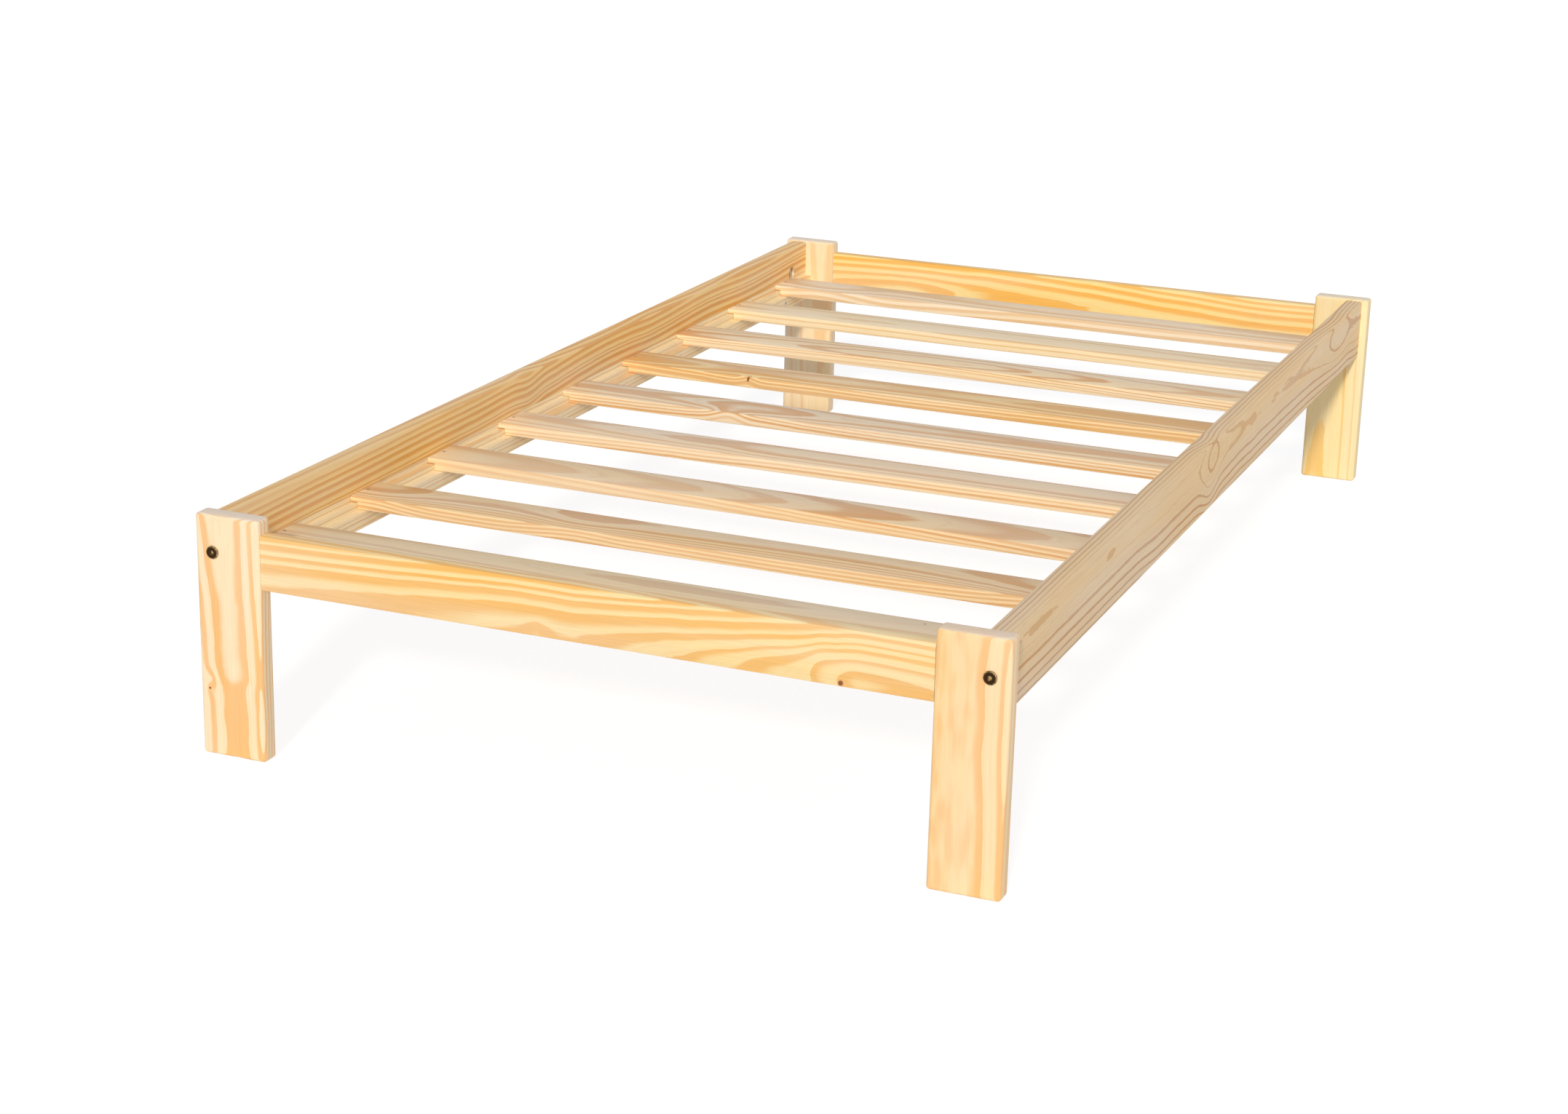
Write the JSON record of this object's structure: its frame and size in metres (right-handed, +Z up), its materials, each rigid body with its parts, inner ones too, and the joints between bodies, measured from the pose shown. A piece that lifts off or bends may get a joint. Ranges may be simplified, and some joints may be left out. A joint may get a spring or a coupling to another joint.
{
  "type": "platform bed",
  "caption": "Low pine bed frame: board legs, end and side rails, and open cross slats on stepped ledgers, bolted at the corners.",
  "frame": {"origin": "on the floor, under the middle of the bed", "axes": "+Z up, +Y along the bed from the foot end to the head end, +X across it to the right as seen from the foot"},
  "size_m": [1.075, 1.9708, 0.322],
  "materials": {
    "pine_legs": "planed and sanded clear pine, unfinished, all edges rounded",
    "pine_end_rails": "planed clear pine, unfinished, eased long edges",
    "pine_side_rails": "planed clear pine, unfinished, eased long edges",
    "pine_ledgers": "machined pine strip, unfinished",
    "pine_slats": "planed pine board, unfinished, eased long edges",
    "beech_dowels": "turned beech pin",
    "antique_brass": "antique-brass plated bolt",
    "zinc_steel": "bright zinc-plated steel"
  },
  "bodies": {
    "root": {"leg_foot_left": "pine_legs", "leg_foot_right": "pine_legs", "leg_head_left": "pine_legs", "leg_head_right": "pine_legs", "end_rail_foot": "pine_end_rails", "end_rail_head": "pine_end_rails", "side_rail_left": "pine_side_rails", "side_rail_right": "pine_side_rails", "ledger_left": "pine_ledgers", "ledger_right": "pine_ledgers", "slat_1": "pine_slats", "slat_2": "pine_slats", "slat_3": "pine_slats", "slat_4": "pine_slats", "slat_5": "pine_slats", "slat_6": "pine_slats", "slat_7": "pine_slats", "slat_8": "pine_slats", "slat_9": "pine_slats", "bed_bolt_foot_left": "antique_brass", "bed_bolt_foot_right": "antique_brass", "bed_bolt_head_left": "antique_brass", "bed_bolt_head_right": "antique_brass", "half_moon_nut_foot_left": "zinc_steel", "half_moon_nut_foot_right": "zinc_steel", "half_moon_nut_head_left": "zinc_steel", "half_moon_nut_head_right": "zinc_steel", "dowel_foot_left_lower": "beech_dowels", "dowel_foot_left_upper": "beech_dowels", "dowel_foot_right_lower": "beech_dowels", "dowel_foot_right_upper": "beech_dowels", "dowel_head_left_lower": "beech_dowels", "dowel_head_left_upper": "beech_dowels", "dowel_head_right_lower": "beech_dowels", "dowel_head_right_upper": "beech_dowels", "slat_nail_left_1": "zinc_steel", "slat_nail_left_2": "zinc_steel", "slat_nail_left_3": "zinc_steel", "slat_nail_left_4": "zinc_steel", "slat_nail_left_5": "zinc_steel", "slat_nail_left_6": "zinc_steel", "slat_nail_left_7": "zinc_steel", "slat_nail_left_8": "zinc_steel", "slat_nail_left_9": "zinc_steel", "slat_nail_right_1": "zinc_steel", "slat_nail_right_2": "zinc_steel", "slat_nail_right_3": "zinc_steel", "slat_nail_right_4": "zinc_steel", "slat_nail_right_5": "zinc_steel", "slat_nail_right_6": "zinc_steel", "slat_nail_right_7": "zinc_steel", "slat_nail_right_8": "zinc_steel", "slat_nail_right_9": "zinc_steel", "ledger_screw_left_1": "zinc_steel", "ledger_screw_left_2": "zinc_steel", "ledger_screw_left_3": "zinc_steel", "ledger_screw_right_1": "zinc_steel", "ledger_screw_right_2": "zinc_steel", "ledger_screw_right_3": "zinc_steel"}
  },
  "joints": []
}
